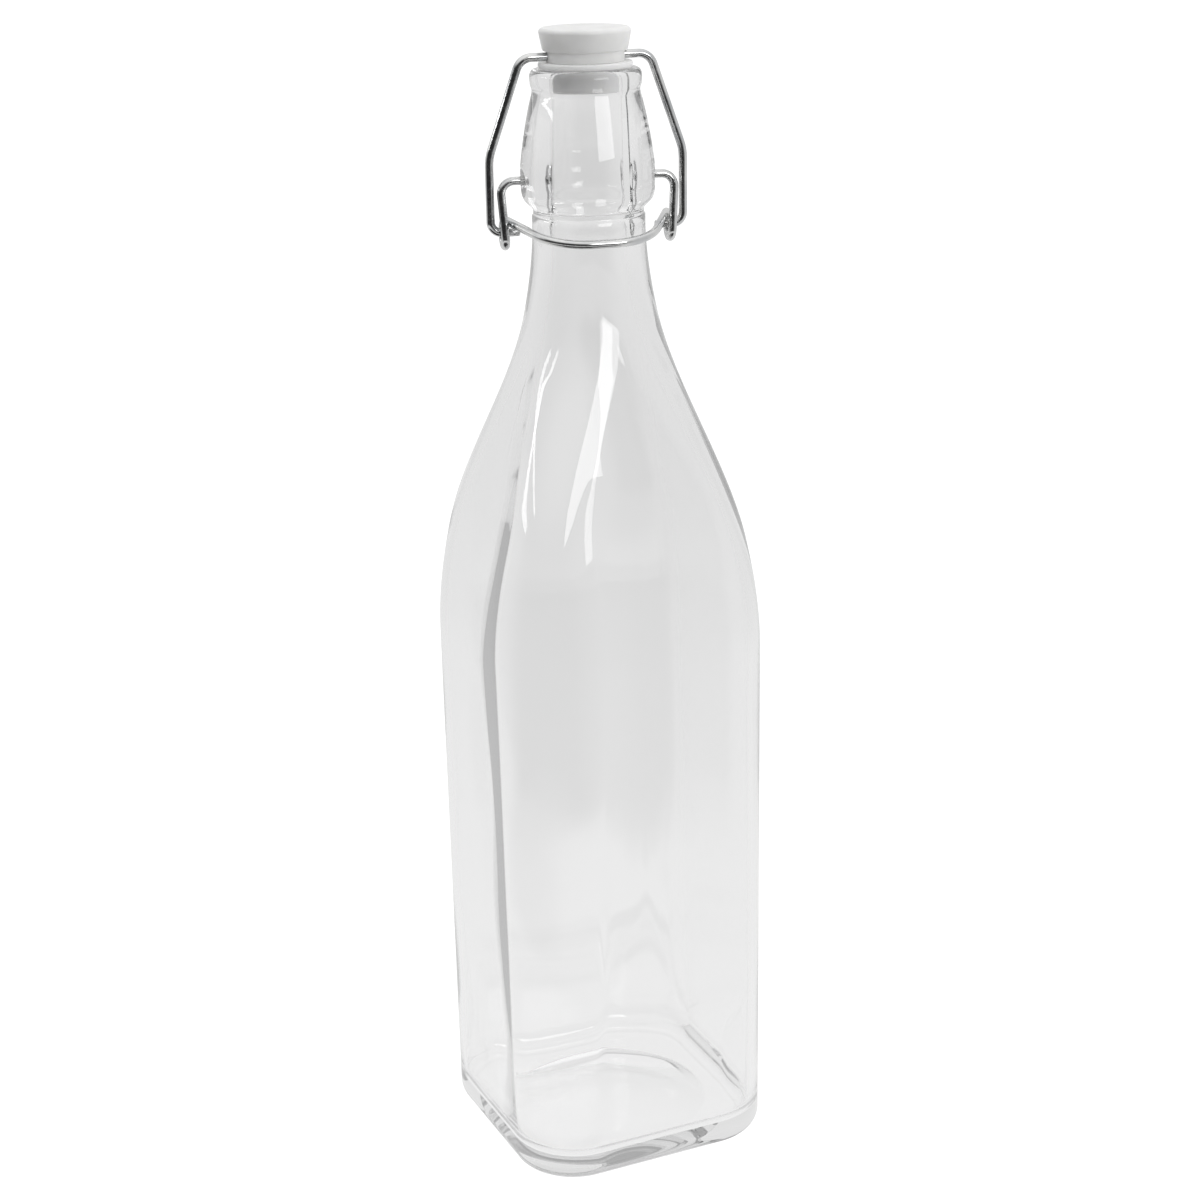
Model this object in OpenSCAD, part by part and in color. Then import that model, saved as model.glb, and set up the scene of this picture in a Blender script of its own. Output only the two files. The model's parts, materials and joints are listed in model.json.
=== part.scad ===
// Square glass bottle of about one litre with a swing-top closure.
// The origin is the centre of the base, on the table. +Z is up and -Y is the front face, on the
// side of the lever's handle. The closure is drawn with its pivots on -X and +X, and then turned
// a little about the bottle's axis.

/* [Bottle body] */
// Width of the square body across its flats
body_w = 80; // [78:0.5:82]
// Radius of the body's four upright corners at the base
base_corner_r = 19.3; // [18:0.1:20]
// Radius of the body's four upright corners under the shoulder
top_corner_r = 17; // [16:0.5:19]
// Height of the sealing lip above the table
lip_h = 323; // [320:1:327]
// Height at which the body starts to draw in
shoulder_h = 158; // [154:1:162]
// Thickness of the side walls
wall = 3; // [2.8:0.1:3.4]
// Thickness of the base outside the push-up
floor_t = 6.5; // [6:0.25:8]
// Radius of the heel between base and sides
heel_r = 5.5; // [5:0.5:6]

/* [Push-up under the base] */
// Diameter of the round push-up
punt_d = 59; // [54:1:61]
// Depth of the push-up at its centre
punt_depth = 3; // [2:0.25:4]

/* [Neck, collar and lip] */
// Diameter of the neck under the collar
neck_d = 32; // [31.6:0.1:32.4]
// Largest diameter of the barrel-shaped collar
collar_d = 37.8; // [37.4:0.1:38.2]
// Distance from the lip down to the collar's lower edge
collar_drop = 38.7; // [38:0.1:39.5]
// Diameter of the rolled lip
lip_d = 31.3; // [31:0.1:31.6]
// Diameter of the mouth bore
mouth_d = 20.4; // [20:0.1:21]

/* [Closure wires] */
// Turn of the closure about the bottle's axis, away from the square body's faces
closure_turn = -12; // [-15:1:0]
// Diameter of the steel wire of both bails
wire_d = 2.4; // [2.2:0.1:2.5]
// Distance from the lip down to the lever's pivots
pivot_drop = 30.2; // [30:0.1:30.6]
// Distance from the pivots down to the eyes that hold the yoke
eye_drop = 14.5; // [14:0.25:15]
// Distance that the eyes lie behind the pivots, so the toggle locks over centre
over_centre = 1.5; // [0.5:0.25:2]
// Distance from the centre line to each of the lever's legs
lever_half_w = 24.7; // [24.5:0.1:24.9]
// Distance from the centre line to each of the yoke's legs
yoke_half_w = 27.8; // [27.7:0.1:28.4]
// Distance from the centre line to the front of the lever's handle
handle_reach = 19; // [18.5:0.25:20]

/* [Stopper and gasket] */
// Diameter of the stopper's head
head_d = 25.7; // [25.4:0.1:26]
// Height of the top of the stopper above the lip
head_top = 11.3; // [10.6:0.1:11.8]
// Height of the stopper's cross bore above the lip
bore_rise = 3.3; // [3.25:0.05:3.5]
// Diameter of the gasket's flange
flange_d = 26.4; // [26:0.1:26.8]
// Thickness of the gasket's flange
flange_t = 1.6; // [1.4:0.05:1.75]
// Depth of the gasket's skirt below the lip
skirt_depth = 6.1; // [5.8:0.1:6.3]

/* [Hidden] */

// Colours
glass_colour = [0.86, 0.88, 0.88, 0.45];
plastic_colour = [0.94, 0.94, 0.93];
silicone_colour = [0.90, 0.90, 0.89];
steel_colour = [0.72, 0.73, 0.74];

// Smoothness
corner_steps = 8;
fine = 96;
wire_facets = 16;
bend_step = 11;

// Clearances of the moving fits, on the radius
pin_gap = 0.05;
seal_gap = 0.12;

// Heights above the table that several pieces share
pivot_h = lip_h - pivot_drop;
eye_h = pivot_h - eye_drop;
bore_h = lip_h + bore_rise;

// The swept wire is a hair thinner than its true round journals, and reaches less far at its ends
sweep_r = wire_d / 2 - 0.02;
end_inset = 0.2;

// Bottle profile
body_half = body_w / 2;
neck_r = neck_d / 2;
collar_r = collar_d / 2;
lip_r = lip_d / 2;
mouth_r = mouth_d / 2;
full_round = 0.97;
neck_h = lip_h - 42.5;
shoulder_steps = 20;
shoulder_pull = 0.32;
neck_pull = 0.3;

// The flats of the four faces narrow and vanish on the way up the shoulder
flat_fade_low = 190;
flat_fade_high = 255;

// Neck groove just under the collar, and the waist between the collar and the lip
groove_r = neck_r - 0.25;
waist_drop = 6.6;
waist_r = lip_r - 0.4;
belly_drop = 27;
belly_power = 1.35;

// Pivot recess in each side of the collar: a shallow dish with a small socket for the pin
dish_r = 4.6;
dish_depth = 2.3;
dish_drop = 0.8;
socket_depth = 2.2;
socket_tip = collar_r - dish_depth - socket_depth;

// ---------- Points and curves ----------

// Cubic curve value between p0 and p3 with handles p1 and p2
function cubic(p0, p1, p2, p3, t) =
    p0 * pow(1 - t, 3) + 3 * p1 * t * pow(1 - t, 2)
    + 3 * p2 * t * t * (1 - t) + p3 * pow(t, 3);

function mix(a, b, t) = a + (b - a) * t;

// Smooth step from 0 to 1
function ease(t) = let (u = max(0, min(1, t))) u * u * (3 - 2 * u);

// Half the width of a face's flat at height h
function flat_half(h) =
    mix(body_half - base_corner_r, body_half - top_corner_r, min(h / shoulder_h, 1))
    * (1 - ease((h - flat_fade_low) / (flat_fade_high - flat_fade_low)));

// Row of a section: [height, half width across flats, corner radius]
function row(h, half) = [h, half, min(half - flat_half(h), half * full_round)];

// Points round one section
function section(r) = [
    for (k = [0 : 3], i = [0 : corner_steps])
        let (
            mid = k * 90 + 45,
            a = k * 90 + 90 * i / corner_steps,
            c = (r[1] - r[2]) * sqrt(2)
        )
        [c * cos(mid) + r[2] * cos(a), c * sin(mid) + r[2] * sin(a), r[0]]
];

// Closed solid through a list of profile rows, bottom row first
module loft(rows) {
    n = 4 * (corner_steps + 1);
    last = len(rows) - 1;
    points = [for (r = rows) each section(r)];
    sides = [
        for (j = [0 : last - 1], i = [0 : n - 1])
            let (a = j * n + i, b = j * n + (i + 1) % n)
            each [[a, a + n, b], [b, a + n, b + n]]
    ];
    ends = [[for (i = [0 : n - 1]) i], [for (i = [n - 1 : -1 : 0]) last * n + i]];
    polyhedron(points = points, faces = concat(sides, ends));
}

// ---------- Bottle ----------

// Rows round the foot of a wall: a quarter round of radius r that starts at height low
function foot_rows(low, half, r) = [
    for (a = [0 : 15 : 90])
        let (inset = r * (1 - sin(a)), h = low + r * (1 - cos(a)))
        [h, half - inset, half - inset - flat_half(h)]
];

// Shoulder curve from a wide half width to a narrow one
function shoulder_rows(h0, half0, h1, half1) = [
    for (i = [0 : shoulder_steps])
        let (t = i / shoulder_steps, rise = h1 - h0)
        row(cubic(h0, h0 + rise * shoulder_pull, h1 - rise * neck_pull, h1, t),
            cubic(half0, half0, half1, half1, t))
];

// Groove, collar and lip, as [distance below the lip, radius]
groove_points = [
    [collar_drop + 1.5, neck_r], [collar_drop + 1.2, groove_r], [collar_drop, groove_r]
];
collar_points = [
    [collar_drop - 0.8, groove_r + 0.6], [collar_drop - 1.8, collar_r - 1.6],
    [collar_drop - 3.1, collar_r - 0.6], [collar_drop - 4.5, collar_r - 0.15],
    [collar_drop - 6.7, collar_r]
];
belly_points = [
    for (t = [0 : 0.125 : 1])
        [mix(belly_drop, waist_drop, t), mix(waist_r, collar_r, 1 - pow(t, belly_power))]
];
lip_points = [
    [waist_drop - 1.2, waist_r + 0.05], [waist_drop - 2.2, lip_r - 0.15], [3, lip_r],
    [1.8, lip_r - 0.05], [0.8, lip_r - 0.35], [0.25, lip_r - 0.9], [0, lip_r - 1.7]
];

outer_rows = concat(
    foot_rows(0, body_half, heel_r),
    shoulder_rows(shoulder_h, body_half, neck_h, neck_r),
    [for (p = concat(groove_points, collar_points, belly_points, lip_points)) row(lip_h - p[0], p[1])]
);

// Hollow: rounded floor, straight sides, shoulder and the round neck passage
cavity_half = body_half - wall;
floor_r = 5.5;
passage_r = mouth_r + 0.5;
passage_low = neck_h - 8;
passage_top = lip_h - collar_drop + 4;

inner_rows = concat(
    foot_rows(floor_t, cavity_half, floor_r),
    shoulder_rows(shoulder_h - 1, cavity_half, passage_low, passage_r),
    [row(passage_top, passage_r)]
);

// Shallow dish and pin socket on the +X side of the collar
module pivot_recess() {
    translate([collar_r - dish_depth + dish_r, 0, pivot_h - dish_drop])
        sphere(r = dish_r, $fn = fine);
    translate([socket_tip, 0, pivot_h])
        rotate([0, 90, 0])
            cylinder(h = dish_depth + socket_depth, r = wire_d / 2 + pin_gap, $fn = fine);
}

module bottle() {
    punt_r = (pow(punt_d / 2, 2) + pow(punt_depth, 2)) / (2 * punt_depth);
    color(glass_colour)
        difference() {
            loft(outer_rows);
            loft(inner_rows);
            translate([0, 0, passage_top - 1])
                cylinder(h = lip_h - passage_top + 2, r = mouth_r, $fn = fine);
            translate([0, 0, punt_depth - punt_r])
                sphere(r = punt_r, $fn = 2 * fine);
            for (turn = [0, 180]) rotate([0, 0, closure_turn + turn]) pivot_recess();
        }
}

// ---------- Wires ----------

function unit(v) = v / norm(v);

// Turn of a wire path at corner i, in degrees
function turn(path, i) =
    let (u = unit(path[i][0] - path[i - 1][0]), v = unit(path[i + 1][0] - path[i][0]))
    acos(u * v);

// Stations along the bend at corner i, each [centre, direction]
function bend_stations(path, i) =
    let (
        u = unit(path[i][0] - path[i - 1][0]),
        v = unit(path[i + 1][0] - path[i][0]),
        r = path[i][1],
        angle = turn(path, i),
        inward = unit(v - u * (u * v)),
        start = path[i][0] - u * r * tan(angle / 2),
        steps = max(3, ceil(angle / bend_step))
    )
    [
        for (k = [0 : steps])
            let (a = angle * k / steps)
            [start + r * (inward * (1 - cos(a)) + u * sin(a)), u * cos(a) + inward * sin(a)]
    ];

// Stations of a whole path of [corner, bend radius] entries
function stations(path) =
    let (last = len(path) - 1)
    concat(
        [[path[0][0], unit(path[1][0] - path[0][0])]],
        [for (i = [1 : last - 1]) each bend_stations(path, i)],
        [[path[last][0], unit(path[last][0] - path[last - 1][0])]]
    );

// A side direction for each station, carried along the path without twisting
function side_directions(line) = [
    for (
        i = 0, side = unit(cross(line[0][1], [0.3, 1, 0.2]));
        i < len(line);
        i = i + 1,
        side = i < len(line) ? unit(side - line[i][1] * (line[i][1] * side)) : side
    )
        side
];

// Round wire swept along a path of [corner, bend radius] entries
module wire(path) {
    line = stations(path);
    sides = side_directions(line);
    last = len(line) - 1;
    n = wire_facets;
    points = [
        for (j = [0 : last], k = [0 : n - 1])
            let (up = cross(line[j][1], sides[j]), a = 360 * k / n)
            line[j][0] + sweep_r * (sides[j] * cos(a) + up * sin(a))
    ];
    skin = [
        for (j = [0 : last - 1], k = [0 : n - 1])
            let (a = j * n + k, b = j * n + (k + 1) % n)
            each [[a, a + n, b], [b, a + n, b + n]]
    ];
    ends = [[for (k = [0 : n - 1]) k], [for (k = [n - 1 : -1 : 0]) last * n + k]];
    polyhedron(points = points, faces = concat(skin, ends));
}

// True round length of wire parallel to X, from x1 to x2, at depth y and height h
module journal(x1, x2, y, h) {
    translate([x1, y, h])
        rotate([0, 90, 0])
            cylinder(h = x2 - x1, d = wire_d, $fn = fine);
}

function flip_x(p) = [-p[0], p[1], p[2]];

// Half path on the +X side, mirrored and joined into one symmetric path
function both_sides(half) = concat(
    [for (p = half) [flip_x(p[0]), p[1]]],
    [for (i = [len(half) - 1 : -1 : 0]) half[i]]
);

// ---------- Lever ----------

// Eye at the foot of each leg: a narrow U that holds the yoke's hook at its top
eye_w = 5.2;
eye_slack = 1.4;
eye_x = lever_half_w - 0.8;
eye_front = over_centre - eye_w / 2;
eye_back = over_centre + eye_w / 2;
eye_bottom = eye_h - wire_d - eye_slack;
eye_bend_r = eye_w / 2 - 0.05;
loop_top = eye_h + 3.6;
loop_bend_r = 1.9;

// Pivot pins at the top and the handle's wide arc in front
pivot_bend_r = 3.6;
pin_end = lever_half_w - 4;
handle_corner_x = 13;
handle_h = eye_h - 1.3;
handle_bend_r = 16;

lever_half_path = [
    [[socket_tip + 2 * end_inset, 0, pivot_h], 0],
    [[lever_half_w + 2 * end_inset, 0, pivot_h], pivot_bend_r],
    [[eye_x, eye_front, eye_bottom], eye_bend_r],
    [[eye_x, eye_back, eye_bottom], eye_bend_r],
    [[eye_x, eye_back, loop_top], loop_bend_r],
    [[handle_corner_x, -handle_reach, handle_h], handle_bend_r]
];

module lever_wire() {
    color(steel_colour) rotate([0, 0, closure_turn]) {
        wire(both_sides(lever_half_path));
        for (side = [0, 1])
            mirror([side, 0, 0]) journal(socket_tip + end_inset, pin_end, 0, pivot_h);
    }
}

// ---------- Yoke ----------

hook_tip_x = 19.5;
hook_bend_r = 3.2;
yoke_bend_h = pivot_h + 6.4;
yoke_bend_r = 14;
yoke_top_x = 18.3;
top_bend_r = 4.5;
bar_end = head_d / 2 + 1;

// Distance behind the centre plane at height h: the yoke leans back towards its eyes
function lean(h) = over_centre * (bore_h - h) / (bore_h - eye_h);

yoke_half_path = [
    [[hook_tip_x + end_inset, over_centre, eye_h], 0],
    [[yoke_half_w, over_centre, eye_h], hook_bend_r],
    [[yoke_half_w, lean(yoke_bend_h), yoke_bend_h], yoke_bend_r],
    [[yoke_top_x, 0, bore_h], top_bend_r]
];

module yoke_wire() {
    color(steel_colour) rotate([0, 0, closure_turn]) {
        wire(both_sides(yoke_half_path));
        journal(-bar_end, bar_end, 0, bore_h);
        for (side = [0, 1])
            mirror([side, 0, 0])
                journal(hook_tip_x, yoke_half_w - hook_bend_r - end_inset, over_centre, eye_h);
    }
}

// ---------- Stopper ----------

// Heights here are counted from the lip. The gasket is pushed onto the core, under the stem
head_r = head_d / 2;
head_edge_r = 1.3;
head_dome = 0.2;
head_taper = 0.95;
head_low = bore_rise + 1.5;
stem_r = 10.9;
core_r = 5;
core_low = 1.5 - skirt_depth;
flange_top = flange_t + seal_gap;

// Solid of revolution about the bottle's axis
module turned(points) {
    translate([0, 0, lip_h]) rotate_extrude($fn = fine) polygon(points);
}

module stopper() {
    shoulder = head_top - head_dome - head_edge_r;
    color(plastic_colour)
        difference() {
            turned(concat(
                [[0, core_low], [core_r, core_low], [core_r, flange_top], [stem_r, flange_top],
                 [stem_r, head_low], [head_r - head_taper, head_low + 0.1]],
                [for (a = [0 : 15 : 90])
                    [head_r - head_edge_r * (1 - cos(a)), shoulder + head_edge_r * sin(a)]],
                [[0, head_top]]
            ));
            rotate([0, 0, closure_turn])
                translate([-head_r, 0, bore_h])
                    rotate([0, 90, 0])
                        cylinder(h = head_d, r = wire_d / 2 + pin_gap, $fn = fine);
        }
}

// ---------- Gasket ----------

gasket_edge = 0.4;
skirt_edge = 0.6;

module gasket() {
    flange_r = flange_d / 2;
    skirt_top_r = mouth_r - 0.7;
    skirt_low_r = mouth_r - 1.1;
    skirt_low = seal_gap - skirt_depth;
    color(silicone_colour)
        turned([
            [core_r, skirt_low],
            [skirt_low_r - skirt_edge, skirt_low],
            [skirt_low_r, skirt_low + skirt_edge],
            [skirt_top_r, seal_gap],
            [flange_r - gasket_edge, seal_gap],
            [flange_r, seal_gap + gasket_edge],
            [flange_r, flange_top - gasket_edge],
            [flange_r - gasket_edge, flange_top],
            [core_r, flange_top]
        ]);
}

bottle();
stopper();
gasket();
yoke_wire();
lever_wire();
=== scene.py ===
"""Looks for the square swing-top bottle: one glass shell, two steel wires, a plastic stopper and
its gasket, on a pale floor. Shapes are worked out in millimetres and made in metres."""

import json
import math

import bmesh
import bpy
import numpy as np
from mathutils import Matrix, Vector


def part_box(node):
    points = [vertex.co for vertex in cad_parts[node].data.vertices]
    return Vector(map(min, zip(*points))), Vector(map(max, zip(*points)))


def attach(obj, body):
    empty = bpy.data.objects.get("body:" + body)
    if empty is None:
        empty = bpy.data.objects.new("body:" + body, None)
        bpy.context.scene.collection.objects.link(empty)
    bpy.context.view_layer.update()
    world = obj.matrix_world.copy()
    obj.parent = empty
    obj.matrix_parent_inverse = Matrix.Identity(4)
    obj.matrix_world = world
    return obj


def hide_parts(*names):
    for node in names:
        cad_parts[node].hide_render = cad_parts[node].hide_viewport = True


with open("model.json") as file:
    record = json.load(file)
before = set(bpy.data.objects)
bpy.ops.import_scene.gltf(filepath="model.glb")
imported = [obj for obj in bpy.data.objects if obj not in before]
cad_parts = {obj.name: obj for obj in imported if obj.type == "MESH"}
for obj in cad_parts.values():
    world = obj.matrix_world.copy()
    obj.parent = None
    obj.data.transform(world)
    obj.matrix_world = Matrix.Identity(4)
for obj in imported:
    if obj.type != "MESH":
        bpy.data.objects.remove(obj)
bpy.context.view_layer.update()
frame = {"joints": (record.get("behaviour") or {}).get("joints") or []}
scene = bpy.context.scene
MM = 0.001


def joint_place(name):
    """Place of a CAD joint, in millimetres."""
    spot = next(j["pos_m"] for j in frame["joints"] if j["name"] == name)
    return np.array(spot) / MM


# ---------- Sizes from the CAD ----------

bottle_high = np.array(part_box("bottle")[1]) / MM
stopper_low, stopper_high = (np.array(corner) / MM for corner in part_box("stopper"))
gasket_low, gasket_high = (np.array(corner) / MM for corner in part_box("gasket"))

LIP_H = bottle_high[2]
BODY_HALF = bottle_high[0]
PIVOT_H = joint_place("lever_pivot")[2]
EYE_H = joint_place("yoke_eye_pivot")[2]
EYE_BACK = math.hypot(*joint_place("yoke_eye_pivot")[:2])
BORE_H = joint_place("stopper_swivel")[2]
PIVOT_AXIS = next(j["axis"] for j in frame["joints"] if j["name"] == "lever_pivot")
CLOSURE_TURN = math.atan2(-PIVOT_AXIS[1], -PIVOT_AXIS[0])

# ---------- Sizes of the glass ----------

# Half the width of a face's flat, at the base and under the shoulder, and the heights it fades over
BASE_FLAT = 20.7
TOP_FLAT = 23.0
FLAT_FADE = (190, 255)
# Side wall, the height where the shoulder starts, and the pull of its curve at both ends
WALL = 3.0
SHOULDER_H = 158.0
SHOULDER_PULL = 0.32
NECK_PULL = 0.3
# Neck, collar, lip, mouth bore and the wider passage under it
NECK_R = 16.0
NECK_H = LIP_H - 42.5
COLLAR_R = 18.9
LIP_R = 15.65
MOUTH_R = 10.2
PASSAGE_R = 10.7
PASSAGE_TOP = LIP_H - 34.7
# Heel, base, the inner floor's rounded edge and crown, and the push-up
HEEL_R = 5.5
FLOOR_T = 6.5
FLOOR_R = 5.5
FLOOR_RISE = 1.2
PUNT_R = 29.5
PUNT_DEPTH = 3.0
# Round dishes in the collar, and the sockets at their bottom that hold the lever's pins
DISH_R = 4.6
DISH_DEPTH = 2.3
DISH_DROP = 0.8
DISH_BLEND = 0.5
SOCKET_DEPTH = 2.2
SOCKET_TIP = COLLAR_R - DISH_DEPTH - SOCKET_DEPTH
# Points round each ring of the glass, and how much they crowd towards the corners
COLUMNS = 320
CORNER_CROWDING = 0.35
# Share of the flat that the inner wall keeps in the front left corner, at the base and on top
BASE_FILL = 0.95
TOP_FILL = 0.66
# Thin stretch of wall beside that corner: its width, its depth at the base and on top, where it
# ends, and the heights it fades over there and above the floor
FOLD_WIDTH = 12.0
FOLD_DEPTH = (0.5, 1.15)
FOLD_TOP = 238
FOLD_TOP_FADE = 45
FOLD_FLOOR_FADE = 12
# Ripple of the inner wall: its height, how far under the lip it ends, and its fades
RIPPLE = 0.3
RIPPLE_DROP = 60
RIPPLE_TOP_FADE = 40
RIPPLE_FLOOR_FADE = 25

# ---------- Sizes of the closure ----------

WIRE_R = 1.2
PIN_GAP = 0.05
SEAL_GAP = 0.12
FLANGE_T = 1.6
STEM_R = 10.9
CORE_R = 5.0
# Distance from the centre line to the legs of the lever and of the yoke
LEVER_HALF_W = 24.7
YOKE_HALF_W = 27.8
# The lever's eye, and the corner where its leg turns into the handle's arc
EYE_W = 5.2
EYE_DROP = 1.4
HANDLE_CORNER = (13, -19, EYE_H - 1.3)
HANDLE_BEND = 16
# Inner ends of the yoke's hooks and of its bar's straight stretch
HOOK_TIP = 19.5
BAR_CORNER = 18.3
# Softened end of a wire: its length, and [share of the length, share of the radius]
WIRE_END = 0.35
WIRE_END_RINGS = ((0, 0.55), (0.3, 0.85), (1, 1))
WIRE_SIDES = 28
ROUND_SIDES = 144
BEND_STEP = math.radians(5)


# ---------- Meshes ----------


def add_piece(name, points, faces, material, body, node_name):
    """Makes a smooth closed piece that rides on a body and stands for a CAD node."""
    mesh = bpy.data.meshes.new(name)
    mesh.from_pydata([tuple(p * MM) for p in points], [], faces)
    mesh.validate()
    mesh.update()
    mesh.polygons.foreach_set("use_smooth", [True] * len(mesh.polygons))
    mesh.materials.append(material)
    piece = bpy.data.objects.new(name, mesh)
    scene.collection.objects.link(piece)
    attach(piece, body)
    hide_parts(node_name)
    return piece


def skin(rings, columns):
    """Faces of a closed surface through rings, with a point at each end of the point list."""
    first, last = 0, rings * columns + 1
    faces = []
    for i in range(columns):
        j = (i + 1) % columns
        faces.append((first, 1 + j, 1 + i))
        faces.append((last, last - columns + i, last - columns + j))
    for ring in range(rings - 1):
        low = 1 + ring * columns
        high = low + columns
        for i in range(columns):
            j = (i + 1) % columns
            faces.append((low + i, low + j, high + j, high + i))
    return faces


def lathe(profile, columns):
    """Points and faces of a solid turned about the axis. The profile starts and ends on it."""
    turn = np.arange(columns) * 2 * math.pi / columns
    points = [np.array([0, 0, profile[0][1]])]
    for radius, height in profile[1:-1]:
        points += [np.array([radius * math.cos(a), radius * math.sin(a), height]) for a in turn]
    points.append(np.array([0, 0, profile[-1][1]]))
    return points, skin(len(profile) - 2, columns)


def cut_bore(piece, start, end, radius):
    """Cuts a round hole between two places of the closure, in millimetres, out of a piece."""
    start, end = turned([start, end], CLOSURE_TURN)
    cutter_mesh = bpy.data.meshes.new("cutter")
    shape = bmesh.new()
    along = Vector(end) - Vector(start)
    tilt = along.to_track_quat("Z", "Y").to_matrix().to_4x4()
    place = Matrix.Translation((Vector(start) + Vector(end)) / 2 * MM) @ tilt
    bmesh.ops.create_cone(shape, cap_ends=True, segments=48, radius1=radius * MM,
                          radius2=radius * MM, depth=along.length * MM, matrix=place)
    shape.to_mesh(cutter_mesh)
    shape.free()
    cutter = bpy.data.objects.new("cutter", cutter_mesh)
    scene.collection.objects.link(cutter)
    cut = piece.modifiers.new("bore", "BOOLEAN")
    cut.operation = "DIFFERENCE"
    cut.solver = "EXACT"
    cut.object = cutter
    graph = bpy.context.evaluated_depsgraph_get()
    made = bpy.data.meshes.new_from_object(piece.evaluated_get(graph), depsgraph=graph)
    piece.modifiers.clear()
    piece.data = made
    bpy.data.objects.remove(cutter)
    return piece


# ---------- Curves ----------


def turned(points, angle):
    """Points turned about the bottle's axis."""
    points = np.array(points, float)
    x, y = points[..., 0], points[..., 1]
    return np.stack([x * math.cos(angle) - y * math.sin(angle),
                     x * math.sin(angle) + y * math.cos(angle), points[..., 2]], axis=-1)


def cubic(p0, p1, p2, p3, t):
    """Cubic curve value between p0 and p3 with handles p1 and p2."""
    s = 1 - t
    return p0 * s**3 + 3 * p1 * t * s**2 + 3 * p2 * t**2 * s + p3 * t**3


def smooth_rows(rows, steps):
    """A smooth curve through profile rows, with this many steps between neighbours."""
    rows = np.array(rows, float)
    ahead = np.vstack([rows[:1], rows, rows[-1:]])
    made = []
    for i in range(len(rows) - 1):
        a, b, c, d = ahead[i : i + 4]
        for k in range(steps):
            t = k / steps
            made.append(0.5 * (2 * b + (c - a) * t + (2 * a - 5 * b + 4 * c - d) * t**2
                               + (3 * b - a - 3 * c + d) * t**3))
    made.append(rows[-1])
    return made


# ---------- Glass ----------


def flat_half(height):
    """Half the width of a face's flat. The flats vanish on the way up the shoulder."""
    fade = np.clip((height - FLAT_FADE[0]) / (FLAT_FADE[1] - FLAT_FADE[0]), 0, 1)
    share = np.clip(height / SHOULDER_H, 0, 1)
    return (BASE_FLAT + (TOP_FLAT - BASE_FLAT) * share) * (1 - fade**2 * (3 - 2 * fade))


def row(height, half):
    """Profile row of [height, half width, half width of the flat]."""
    return [height, half, min(flat_half(height), half)]


def shoulder(low, low_half, high, high_half, steps):
    """Rows from a wide section to a narrow one."""
    rise = high - low
    return [row(cubic(low, low + rise * SHOULDER_PULL, high - rise * NECK_PULL, high, k / steps),
                cubic(low_half, low_half, high_half, high_half, k / steps))
            for k in range(1, steps + 1)]


def straight(low, high, half, step):
    """Rows of an upright stretch."""
    count = max(1, round(abs(high - low) / step))
    return [row(low + (high - low) * k / count, half) for k in range(1, count + 1)]


def arc_angles(count):
    """Angles of a quarter turn, from 0 up."""
    return [math.pi / 2 * k / count for k in range(count + 1)]


def foot(low, half, radius):
    """Rows round the foot of a wall, from the flat bottom up to the side."""
    return [row(low + radius * (1 - math.cos(a)), half - radius * (1 - math.sin(a)))
            for a in arc_angles(12)]


def outside_rows():
    """Push-up, heel, body, shoulder, neck, collar and lip, from the base's centre upwards."""
    dome = (PUNT_R**2 + PUNT_DEPTH**2) / (2 * PUNT_DEPTH)
    rows = []
    for r in np.linspace(1.5, PUNT_R - 0.6, 16):
        rows.append([PUNT_DEPTH - dome + math.sqrt(dome**2 - r**2), r, 0])
    rows += [[0.03, PUNT_R - 0.2, 0], [0, PUNT_R + 0.4, 0]]
    for t in (0.35, 0.7):
        rows.append([0, PUNT_R + (BODY_HALF - HEEL_R - PUNT_R) * t, BASE_FLAT * t])
    rows += foot(0, BODY_HALF, HEEL_R)
    rows += straight(HEEL_R, SHOULDER_H, BODY_HALF, 4)
    rows += shoulder(SHOULDER_H, BODY_HALF, NECK_H, NECK_R, 70)
    drops = [
        (40.5, NECK_R), (40.1, 15.7), (39.0, 15.65), (38.2, 16.0), (37.5, 16.7), (36.9, 17.3),
        (36.1, 18.0), (35.2, 18.45), (33.6, 18.8), (31, COLLAR_R), (27, COLLAR_R), (24.4, 18.63),
        (22, 18.3), (19.4, 17.9), (17, 17.5), (14.4, 17.0), (12, 16.5), (9.6, 15.95), (7.9, 15.5),
        (6.4, 15.15), (5.4, 15.2), (4.5, 15.5), (3.2, LIP_R), (1.8, LIP_R), (0.8, 15.3),
        (0.25, 14.75), (0, 14.0)]
    smooth = smooth_rows([[LIP_H - drop, radius] for drop, radius in drops], 6)
    return rows + [[height, radius, 0] for height, radius in smooth]


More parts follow.
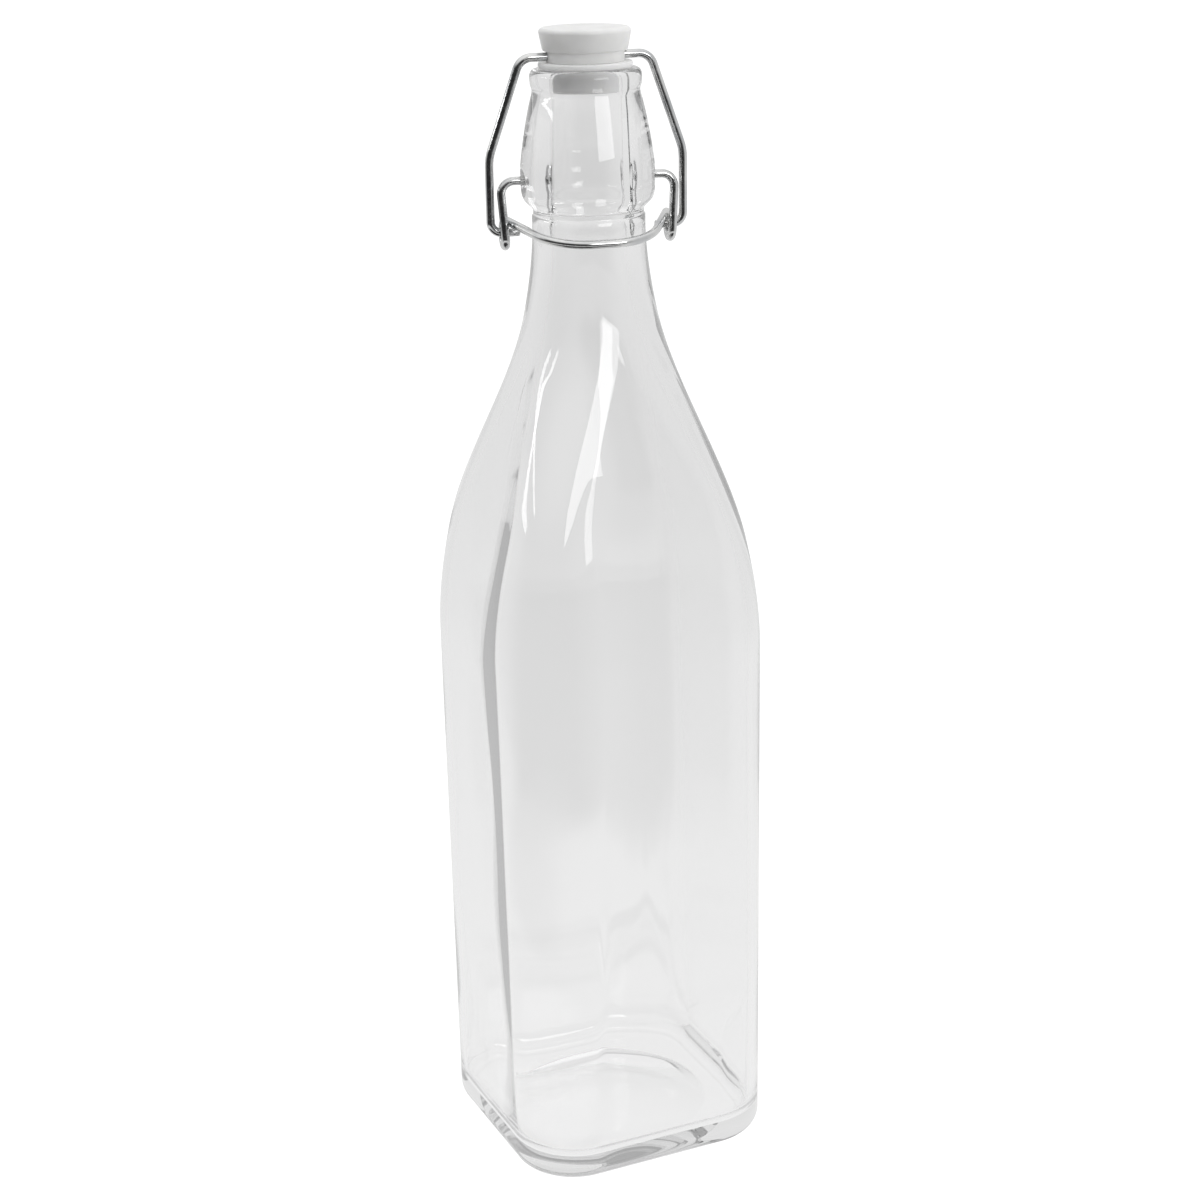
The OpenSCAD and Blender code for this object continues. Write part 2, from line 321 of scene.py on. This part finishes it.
def inside_rows():
    """Rounded mouth, passage, inner shoulder, cavity and floor, from the lip downwards."""
    edge = 0.9
    rows = [[LIP_H, MOUTH_R + edge + 1.2, 0]]
    for a in arc_angles(6):
        rows.append([LIP_H - edge * (1 - math.cos(a)), MOUTH_R + edge * (1 - math.sin(a)), 0])
    rows += straight(LIP_H - edge, PASSAGE_TOP, MOUTH_R, 1.5)
    rows += [[PASSAGE_TOP - 1.5, (MOUTH_R + PASSAGE_R) / 2, 0], [PASSAGE_TOP - 3, PASSAGE_R, 0]]
    cavity_half = BODY_HALF - WALL
    passage_low = NECK_H - 8
    rows += straight(PASSAGE_TOP - 3, passage_low, PASSAGE_R, 1.5)
    rows += shoulder(SHOULDER_H - 1, cavity_half, passage_low, PASSAGE_R, 70)[-2::-1]
    rows += [row(SHOULDER_H - 1, cavity_half)]
    rows += straight(SHOULDER_H - 1, FLOOR_T + FLOOR_R, cavity_half, 4)[:-1]
    rows += foot(FLOOR_T, cavity_half, FLOOR_R)[::-1]
    floor_half = cavity_half - FLOOR_R
    for share in np.linspace(0.94, 0.06, 12):
        rise = FLOOR_RISE * (1 - share**2)
        rows.append([FLOOR_T + rise, floor_half * share, BASE_FLAT * share**3])
    return rows


def section_radius(half, flat, turn):
    """Distance from the axis of a rounded square, at each angle of turn."""
    corner = half - flat
    across = np.abs(np.cos(turn))
    up = np.abs(np.sin(turn))
    toward = flat * (across + up)
    arc = toward + np.sqrt(np.maximum(toward**2 - 2 * flat**2 + corner**2, 0))
    face = half / np.maximum(across, up)
    on_face = np.minimum(across, up) * half <= flat * np.maximum(across, up)
    return np.where(on_face, face, arc)


def sink_dishes(ring):
    """Sinks the two round pivot dishes into a ring of the collar."""
    own = turned(ring, -CLOSURE_TURN)
    away = np.hypot(own[:, 1], own[:, 2] - PIVOT_H + DISH_DROP)
    centre = COLLAR_R - DISH_DEPTH + DISH_R
    bowl = centre - np.sqrt(np.maximum(DISH_R**2 - away**2, 0))
    side = np.abs(own[:, 0])
    gap = np.clip(0.5 + 0.5 * (bowl - side) / DISH_BLEND, 0, 1)
    sunk = bowl * (1 - gap) + side * gap - DISH_BLEND * gap * (1 - gap)
    inside = (away < DISH_R) & (side > DISH_R)
    own[:, 0] = np.where(inside, np.sign(own[:, 0]) * sunk, own[:, 0])
    return turned(own, CLOSURE_TURN)


def inner_radius(half, flat, height, turn):
    """Distance of the inner wall from the axis. In the front left corner the hollow is rounder,
    and the wall beside that corner is drawn thinner."""
    share = np.clip(height / SHOULDER_H, 0, 1)
    narrow = flat * (BASE_FILL + (TOP_FILL - BASE_FILL) * share)
    rounder = section_radius(half, narrow, turn)
    from_face = (turn + math.pi / 4) % (math.pi / 2) - math.pi / 4
    beside = np.clip((np.abs(rounder * np.sin(from_face)) - narrow) / FOLD_WIDTH + 1, 0, 1)
    fade = (np.clip((FOLD_TOP - height) / FOLD_TOP_FADE, 0, 1)
            * np.clip((height - FLOOR_T) / FOLD_FLOOR_FADE, 0, 1))
    front_left = (np.cos(turn) < 0) & (np.sin(turn) < 0)
    depth = FOLD_DEPTH[0] + (FOLD_DEPTH[1] - FOLD_DEPTH[0]) * share**2
    return np.where(front_left, rounder + depth * fade * beside**2,
                    section_radius(half, flat, turn))


def ripple(turn, height):
    """Small uneven thickness of blown glass on the inner wall, from -1 to 1."""
    return (0.45 * np.sin(2 * turn + height / 31 + 0.7) + 0.3 * np.sin(3 * turn - height / 19)
            + 0.25 * np.sin(5 * turn + height / 12 + 2.1))


def glass_points():
    """All points of the glass, ring by ring, from the base's centre to the floor's centre."""
    even = np.arange(COLUMNS) * 2 * math.pi / COLUMNS
    turn = even + CORNER_CROWDING * np.sin(4 * even) / 4
    outside = outside_rows()
    rows = outside + inside_rows()
    points = [np.array([0, 0, PUNT_DEPTH])]
    for i, (height, half, flat) in enumerate(rows):
        if i < len(outside):
            radius = section_radius(half, flat, turn)
        else:
            fade = (np.clip((LIP_H - RIPPLE_DROP - height) / RIPPLE_TOP_FADE, 0, 1)
                    * np.clip((height - FLOOR_T) / RIPPLE_FLOOR_FADE, 0, 1))
            radius = inner_radius(half, flat, height, turn) + RIPPLE * fade * ripple(turn, height)
        ring = np.column_stack([radius * np.cos(turn), radius * np.sin(turn),
                                np.full(COLUMNS, float(height))])
        if i < len(outside) and abs(height - PIVOT_H + DISH_DROP) < DISH_R:
            ring = sink_dishes(ring)
        points += list(ring)
    points.append(np.array([0, 0, FLOOR_T + FLOOR_RISE]))
    return points, len(rows)


def build_glass(material):
    """The one shell of glass, with its two pivot sockets."""
    points, rings = glass_points()
    glass = add_piece("glass_bottle", points, skin(rings, COLUMNS), material, "bottle",
                      "bottle")
    for side in (-1, 1):
        cut_bore(glass, (side * SOCKET_TIP, 0, PIVOT_H), (side * COLLAR_R, 0, PIVOT_H),
                 WIRE_R + PIN_GAP)
    return glass


# ---------- Wires ----------


def unit(v):
    """The vector with a length of 1."""
    return v / np.linalg.norm(v)


def wire_line(path):
    """Stations of a wire along corners that are each [place, bend radius]."""
    places = [np.array(place, float) for place, _ in path]
    line = [(places[0], unit(places[1] - places[0]))]
    for i in range(1, len(path) - 1):
        before, after = unit(places[i] - places[i - 1]), unit(places[i + 1] - places[i])
        bend = path[i][1]
        angle = math.acos(np.clip(before @ after, -1, 1))
        inward = unit(after - before * (before @ after))
        start = places[i] - before * bend * math.tan(angle / 2)
        steps = max(3, math.ceil(angle / BEND_STEP))
        for k in range(steps + 1):
            a = angle * k / steps
            line.append((start + bend * (inward * (1 - math.cos(a)) + before * math.sin(a)),
                         before * math.cos(a) + inward * math.sin(a)))
    line.append((places[-1], unit(places[-1] - places[-2])))
    return line


def build_wire(name, half_path, material, body, node_name):
    """Round wire with softened ends, along a half path on the +X side and its mirror image."""
    flipped = [((-x, y, z), bend) for (x, y, z), bend in half_path]
    line = wire_line(flipped + half_path[::-1])
    rings = []
    side = unit(np.cross(line[0][1], (0.3, 1, 0.2)))
    for i, (place, along) in enumerate(line):
        side = unit(side - along * (along @ side))
        up = np.cross(along, side)
        if i == 0:
            rings += [(place + along * WIRE_END * reach, share, side, up)
                      for reach, share in WIRE_END_RINGS]
        elif i == len(line) - 1:
            rings += [(place - along * WIRE_END * reach, share, side, up)
                      for reach, share in WIRE_END_RINGS[::-1]]
        else:
            rings.append((place, 1, side, up))
    turn = np.arange(WIRE_SIDES) * 2 * math.pi / WIRE_SIDES
    points = [line[0][0]]
    for place, share, side, up in rings:
        points += [place + WIRE_R * share * (side * math.cos(a) + up * math.sin(a)) for a in turn]
    points.append(line[-1][0])
    return add_piece(name, turned(points, CLOSURE_TURN), skin(len(rings), WIRE_SIDES), material,
                     body, node_name)


def lever_path():
    """Pivot pin, leg, eye and half of the handle's arc, on the +X side."""
    eye_x = LEVER_HALF_W - 0.8
    eye_bottom = EYE_H - 2 * WIRE_R - EYE_DROP
    eye_bend = EYE_W / 2 - 0.05
    front = EYE_BACK - EYE_W / 2
    back = EYE_BACK + EYE_W / 2
    return [((SOCKET_TIP + 0.2, 0, PIVOT_H), 0),
            ((LEVER_HALF_W + 0.4, 0, PIVOT_H), 3.6),
            ((eye_x, front, eye_bottom), eye_bend),
            ((eye_x, back, eye_bottom), eye_bend),
            ((eye_x, back, EYE_H + 3.6), 1.9),
            (HANDLE_CORNER, HANDLE_BEND)]


def yoke_path():
    """Hook, leg and half of the bar through the stopper, on the +X side."""
    bend_h = PIVOT_H + 6.4
    lean = EYE_BACK * (BORE_H - bend_h) / (BORE_H - EYE_H)
    return [((HOOK_TIP, EYE_BACK, EYE_H), 0), ((YOKE_HALF_W, EYE_BACK, EYE_H), 3.2),
            ((YOKE_HALF_W, lean, bend_h), 14), ((BAR_CORNER, 0, BORE_H), 4.5)]


# ---------- Stopper and gasket ----------


def build_stopper(material):
    """Head, stem and core in one turned piece, with the cross bore for the yoke's bar."""
    top = stopper_high[2]
    head_r = stopper_high[0]
    low = stopper_low[2]
    stem_low = LIP_H + FLANGE_T + SEAL_GAP
    head_low = BORE_H + 1.5
    edge = 1.3
    profile = [(0, low), (CORE_R - 0.4, low), (CORE_R, low + 0.4), (CORE_R, stem_low),
               (STEM_R - 0.2, stem_low), (STEM_R, stem_low + 0.2), (STEM_R, head_low - 0.35),
               (STEM_R + 0.12, head_low - 0.08), (head_r - 1.3, head_low),
               (head_r - 1.05, head_low + 0.1), (head_r - 0.93, head_low + 0.4)]
    profile += [(head_r - edge + edge * math.cos(a), top - 0.25 - edge + edge * math.sin(a))
                for a in arc_angles(8)]
    profile += [(head_r - 2.4, top - 0.16), (head_r * 0.6, top - 0.05), (head_r * 0.3, top),
                (0, top)]
    points, faces = lathe(profile, ROUND_SIDES)
    stopper = add_piece("stopper_head", points, faces, material, "stopper", "stopper")
    return cut_bore(stopper, (-head_r, 0, BORE_H), (head_r, 0, BORE_H), WIRE_R + PIN_GAP)


def build_gasket(material):
    """Ring under the stopper: a flange with round edges and a tapered skirt in the mouth."""
    low, top = gasket_low[2], gasket_high[2]
    under = LIP_H + SEAL_GAP
    flange_r = gasket_high[0]
    bore_r = CORE_R + 0.05
    edge = 0.45
    profile = [(bore_r, low), (8.5, low), (8.95, low + 0.25), (9.1, low + 0.6), (9.45, under - 0.3),
               (9.6, under), (flange_r - edge, under)]
    profile += [(flange_r - edge * (1 - math.sin(a)), under + edge * (1 - math.cos(a)))
                for a in arc_angles(4)[1:]]
    profile += [(flange_r - edge * (1 - math.cos(a)), top - edge * (1 - math.sin(a)))
                for a in arc_angles(4)]
    profile += [(STEM_R, top), (bore_r, top)]
    turn = np.arange(ROUND_SIDES) * 2 * math.pi / ROUND_SIDES
    points = []
    for radius, height in profile:
        points += [np.array([radius * math.cos(a), radius * math.sin(a), height]) for a in turn]
    faces = []
    for ring in range(len(profile)):
        low_start = ring * ROUND_SIDES
        high_start = (ring + 1) % len(profile) * ROUND_SIDES
        for i in range(ROUND_SIDES):
            j = (i + 1) % ROUND_SIDES
            faces.append((low_start + i, low_start + j, high_start + j, high_start + i))
    return add_piece("gasket_ring", points, faces, material, "stopper", "gasket")


# ---------- Materials ----------


def node(tree, kind, inputs=None, **settings):
    """Adds a shader node. Inputs are values, or sockets to link from."""
    made = tree.nodes.new("ShaderNode" + kind)
    for key, value in settings.items():
        setattr(made, key, value)
    for key, value in (inputs or {}).items():
        if isinstance(value, bpy.types.NodeSocket):
            tree.links.new(value, made.inputs[key])
        else:
            made.inputs[key].default_value = value
    return made


def new_material(name):
    """A material with an empty node tree."""
    material = bpy.data.materials.new(name)
    material.use_nodes = True
    material.node_tree.nodes.clear()
    return material, material.node_tree


def object_noise(tree, scale, detail=3.0, stretch=(1, 1, 1)):
    """Noise in the piece's own space, with its size as waves per metre."""
    place = node(tree, "TexCoord").outputs["Object"]
    moved = node(tree, "Mapping", {"Vector": place, "Scale": stretch}).outputs["Vector"]
    return node(tree, "TexNoise", {"Vector": moved, "Scale": scale, "Detail": detail}).outputs["Fac"]


def ramp(tree, value, low, high, from_low=0.3, from_high=0.7):
    """Spreads the middle of a noise over a range."""
    return node(tree, "MapRange", {"Value": value, "From Min": from_low, "From Max": from_high,
                                   "To Min": low, "To Max": high}).outputs["Result"]


def glass_material():
    """Clear glass with faint waves and smudges. Rays that stay in the walls for more than eight
    bounces get a painted glow, a flat grey emission in place of the light they would still bring.
    Shadows and diffuse light pass with a small loss."""
    material, tree = new_material("clear_glass")
    smudges = ramp(tree, object_noise(tree, 90, 5), 0.0, 0.02)
    waves = object_noise(tree, 42, 1.5, (1, 1, 0.6))
    bump = node(tree, "Bump", {"Strength": 0.25, "Distance": 0.00035, "Height": waves})
    shader = node(tree, "BsdfPrincipled", {
        "Base Color": (0.99, 0.99, 0.99, 1), "Roughness": smudges, "IOR": 1.5,
        "Transmission Weight": 1.0, "Normal": bump.outputs["Normal"]})
    clear = node(tree, "BsdfTransparent", {"Color": (0.93, 0.93, 0.93, 1)})
    path = node(tree, "LightPath")
    through = node(tree, "Math", {0: path.outputs["Is Shadow Ray"], 1: path.outputs["Is Diffuse Ray"]},
                   operation="MAXIMUM")
    # Painted glow: past eight bounces the glass emits flat grey light instead of tracing further
    glow_after_bounces, painted_glow_level = 8.0, 0.5
    long_way = node(tree, "Math", {0: path.outputs["Ray Depth"], 1: glow_after_bounces},
                    operation="GREATER_THAN")
    painted_glow = node(tree, "Emission", {"Color": (1, 1, 1, 1), "Strength": painted_glow_level})
    body = node(tree, "MixShader", {0: long_way.outputs[0], 1: shader.outputs[0],
                                    2: painted_glow.outputs[0]})
    mixed = node(tree, "MixShader", {0: through.outputs[0], 1: body.outputs[0],
                                     2: clear.outputs[0]})
    inside = node(tree, "VolumeAbsorption", {"Color": (0.5, 0.5, 0.505, 1), "Density": 6.0})
    node(tree, "OutputMaterial", {"Surface": mixed.outputs[0], "Volume": inside.outputs[0]})
    return material


def steel_material():
    """Polished wire with fine grain and slightly duller patches."""
    material, tree = new_material("polished_steel")
    grain = object_noise(tree, 900, 4)
    patches = object_noise(tree, 120, 3)
    rough = ramp(tree, grain, 0.1, 0.24)
    tone = node(tree, "ValToRGB", {"Fac": ramp(tree, patches, 0, 1)})
    tone.color_ramp.elements[0].color = (0.5, 0.51, 0.52, 1)
    tone.color_ramp.elements[1].color = (0.74, 0.74, 0.73, 1)
    bump = node(tree, "Bump", {"Strength": 0.25, "Distance": 0.00004, "Height": grain})
    shader = node(tree, "BsdfPrincipled", {
        "Base Color": tone.outputs["Color"], "Metallic": 1.0, "Roughness": rough,
        "Normal": bump.outputs["Normal"]})
    node(tree, "OutputMaterial", {"Surface": shader.outputs[0]})
    return material


def plastic_material():
    """Satin white plastic with a fine speckle."""
    material, tree = new_material("white_plastic")
    speckle = object_noise(tree, 1400, 3)
    clouds = object_noise(tree, 160, 2)
    tone = node(tree, "ValToRGB", {"Fac": ramp(tree, clouds, 0, 1)})
    tone.color_ramp.elements[0].color = (0.86, 0.86, 0.85, 1)
    tone.color_ramp.elements[1].color = (0.93, 0.93, 0.925, 1)
    bump = node(tree, "Bump", {"Strength": 0.2, "Distance": 0.00005, "Height": speckle})
    shader = node(tree, "BsdfPrincipled", {
        "Base Color": tone.outputs["Color"], "Roughness": ramp(tree, speckle, 0.3, 0.45),
        "Subsurface Weight": 0.25, "Subsurface Radius": (0.002, 0.002, 0.0018),
        "Subsurface Scale": 1.0, "Normal": bump.outputs["Normal"]})
    node(tree, "OutputMaterial", {"Surface": shader.outputs[0]})
    return material


def silicone_material():
    """Soft translucent white seal."""
    material, tree = new_material("soft_silicone")
    speckle = object_noise(tree, 700, 3)
    bump = node(tree, "Bump", {"Strength": 0.15, "Distance": 0.00006, "Height": speckle})
    shader = node(tree, "BsdfPrincipled", {
        "Base Color": (0.96, 0.96, 0.95, 1), "Roughness": ramp(tree, speckle, 0.35, 0.55),
        "Subsurface Weight": 0.7, "Subsurface Radius": (0.004, 0.004, 0.0038),
        "Subsurface Scale": 1.0, "Normal": bump.outputs["Normal"]})
    node(tree, "OutputMaterial", {"Surface": shader.outputs[0]})
    return material


# ---------- Studio ----------

SWEEP_LEVEL = 0.88
BACKDROP_LEVEL = 0.785
SKY_LEVEL = 1.1
PAPER_LEVEL = 1.1
BELT_LEVEL = 0.03
BELT_AZIMUTH = 45
# Each pair is the angles, in degrees, where a soft edge starts and ends
BELT_SIDES = (95, 43)
BELT_LOW = (-24, -22.5)
BELT_HIGH = (38, 14)
TABLE_EDGE = (-33, -42)
SWEEP_EDGE = (-32, -6)
SKY_EDGE = (23.58, 64.16)
# Floor: half its width, the range of its own tone, and the glow that makes it white paper
FLOOR_HALF = 9.0
PAPER_TONE = (0.22, 0.26)
PAPER_GLOW = 0.92
# Bounces of light that the glass needs, and that mirrors and clear shadows need
GLASS_BOUNCES = 64
MIRROR_BOUNCES = 12
CLEAR_BOUNCES = 16


def bearing(azimuth, elevation):
    """Unit vector towards an azimuth, clockwise from the front (-Y) seen from above, and a height."""
    a, e = math.radians(azimuth), math.radians(elevation)
    return Vector((-math.sin(a) * math.cos(e), -math.cos(a) * math.cos(e), math.sin(e)))


def blend(tree, share, low, high):
    """Mixes two values by a share."""
    return node(tree, "Mix", {0: share, 2: low, 3: high}, data_type="FLOAT").outputs[0]


def step(tree, value, start, end):
    """Smooth step from 0 at one value to 1 at another."""
    return node(tree, "MapRange", {"Value": value, "From Min": start, "From Max": end},
                interpolation_type="SMOOTHSTEP").outputs["Result"]


def height_step(tree, rise, edge):
    """Soft step on the height of a direction, between two angles above the horizon."""
    start, end = (math.sin(math.radians(angle)) for angle in edge)
    return step(tree, rise, start, end)


def surroundings(tree, direction):
    """Brightness of the studio in a direction: a pale sweep, a dark belt in front, a light sky."""
    across = node(tree, "VectorMath", {0: direction, 1: (1, 1, 0)}, operation="MULTIPLY")
    level_way = node(tree, "VectorMath", {0: across.outputs[0]}, operation="NORMALIZE")
    facing = node(tree, "VectorMath", {0: level_way.outputs[0], 1: bearing(BELT_AZIMUTH, 0)},
                  operation="DOT_PRODUCT").outputs["Value"]
    rise = node(tree, "SeparateXYZ", {0: direction}).outputs["Z"]
    in_front = step(tree, facing, *(math.cos(math.radians(angle)) for angle in BELT_SIDES))
    over_table = height_step(tree, rise, BELT_LOW)
    under_sky = height_step(tree, rise, BELT_HIGH)
    near_table = height_step(tree, rise, TABLE_EDGE)
    belt = node(tree, "Math", {0: over_table, 1: under_sky}, operation="MULTIPLY").outputs[0]
    belt = node(tree, "Math", {0: belt, 1: near_table}, operation="ADD", use_clamp=True).outputs[0]
    belt = node(tree, "Math", {0: belt, 1: in_front}, operation="MULTIPLY").outputs[0]
    sweep = blend(tree, height_step(tree, rise, SWEEP_EDGE), SWEEP_LEVEL, BACKDROP_LEVEL)
    sky = blend(tree, height_step(tree, rise, SKY_EDGE), sweep, SKY_LEVEL)
    return blend(tree, belt, sky, BELT_LEVEL)


def studio_world():
    """The surroundings all round, and plain white where the camera looks past the floor."""
    world = bpy.data.worlds.new("studio")
    scene.world = world
    world.use_nodes = True
    tree = world.node_tree
    tree.nodes.clear()
    studio = surroundings(tree, node(tree, "TexCoord").outputs["Generated"])
    level = blend(tree, node(tree, "LightPath").outputs["Is Camera Ray"], studio, PAPER_LEVEL)
    light = node(tree, "Background", {"Color": (1, 1, 1, 1), "Strength": level})
    node(tree, "OutputWorld", {"Surface": light.outputs[0]})


def softbox(name, place, target, width, height, power):
    """Area light facing a target, unseen by the camera. Sizes in metres."""
    lamp = bpy.data.lights.new(name, "AREA")
    lamp.shape = "RECTANGLE"
    lamp.size, lamp.size_y = width, height
    lamp.energy = power
    box = bpy.data.objects.new(name, lamp)
    scene.collection.objects.link(box)
    box.location = place
    box.rotation_euler = (Vector(target) - Vector(place)).to_track_quat("-Z", "Y").to_euler()
    box.visible_camera = False


def pale_floor():
    """Wide floor that reads as white paper with a faint contact shadow, and as the sweep of the
    studio when it is seen through or mirrored in the object."""
    mesh = bpy.data.meshes.new("floor")
    corners = ((-1, -1), (1, -1), (1, 1), (-1, 1))
    mesh.from_pydata([(x * FLOOR_HALF, y * FLOOR_HALF, 0) for x, y in corners], [], [(0, 1, 2, 3)])
    material, tree = new_material("pale_paper")
    fibres = ramp(tree, object_noise(tree, 60, 4), *PAPER_TONE)
    shade = node(tree, "BsdfDiffuse", {"Color": node(tree, "CombineColor", {
        0: fibres, 1: fibres, 2: fibres}).outputs[0]})
    glow = node(tree, "Emission", {"Color": (1, 1, 1, 1), "Strength": PAPER_GLOW})
    paper = node(tree, "AddShader", {0: shade.outputs[0], 1: glow.outputs[0]})
    back = node(tree, "NewGeometry").outputs["Incoming"]
    outward = node(tree, "VectorMath", {0: back, "Scale": -1.0}, operation="SCALE").outputs[0]
    sweep = node(tree, "Emission", {"Color": (1, 1, 1, 1), "Strength": surroundings(tree, outward)})
    seen = node(tree, "LightPath").outputs["Is Camera Ray"]
    mixed = node(tree, "MixShader", {0: seen, 1: sweep.outputs[0], 2: paper.outputs[0]})
    node(tree, "OutputMaterial", {"Surface": mixed.outputs[0]})
    mesh.materials.append(material)
    floor = bpy.data.objects.new("floor", mesh)
    scene.collection.objects.link(floor)


def camera():
    """Camera on the front left, looking slightly down, tilted by about a degree."""
    azimuth, pitch, roll = math.radians(24.48), math.radians(17.783), math.radians(-1.215)
    distance = 710.6 * MM
    aim = Vector((0.71, -2.02, LIP_H * 0.5303)) * MM
    right = Vector((math.cos(azimuth), -math.sin(azimuth), 0))
    forward = Vector((math.sin(azimuth) * math.cos(pitch), math.cos(azimuth) * math.cos(pitch),
                      -math.sin(pitch)))
    up = right.cross(forward)
    across = right * math.cos(roll) + up * math.sin(roll)
    upward = up * math.cos(roll) - right * math.sin(roll)
    data = bpy.data.cameras.new("camera")
    data.lens = 72.26
    data.sensor_width = 36
    data.shift_x, data.shift_y = -0.00156, -0.00705
    cam = bpy.data.objects.new("camera", data)
    scene.collection.objects.link(cam)
    facing = Matrix((across, upward, -forward)).transposed()
    cam.matrix_world = Matrix.Translation(aim - forward * distance) @ facing.to_4x4()
    scene.camera = cam


# ---------- The object and its stage ----------

build_glass(glass_material())
steel = steel_material()
build_wire("lever_bail", lever_path(), steel, "lever", "lever_wire")
build_wire("yoke_bail", yoke_path(), steel, "yoke", "yoke_wire")
build_stopper(plastic_material())
build_gasket(silicone_material())

studio_world()
softbox("side_strip", place=(-0.722, 0.268, 0.505), target=(-0.023, -0.014, 0.231),
        width=0.5, height=0.03, power=0.26)
softbox("window", place=(0.11, -0.71, 0.509), target=(-0.01, -0.028, 0.222),
        width=0.38, height=0.24, power=1.25)
pale_floor()
camera()
scene.view_settings.view_transform = "Standard"
scene.cycles.max_bounces = GLASS_BOUNCES
scene.cycles.transmission_bounces = GLASS_BOUNCES
scene.cycles.glossy_bounces = MIRROR_BOUNCES
scene.cycles.transparent_max_bounces = CLEAR_BOUNCES
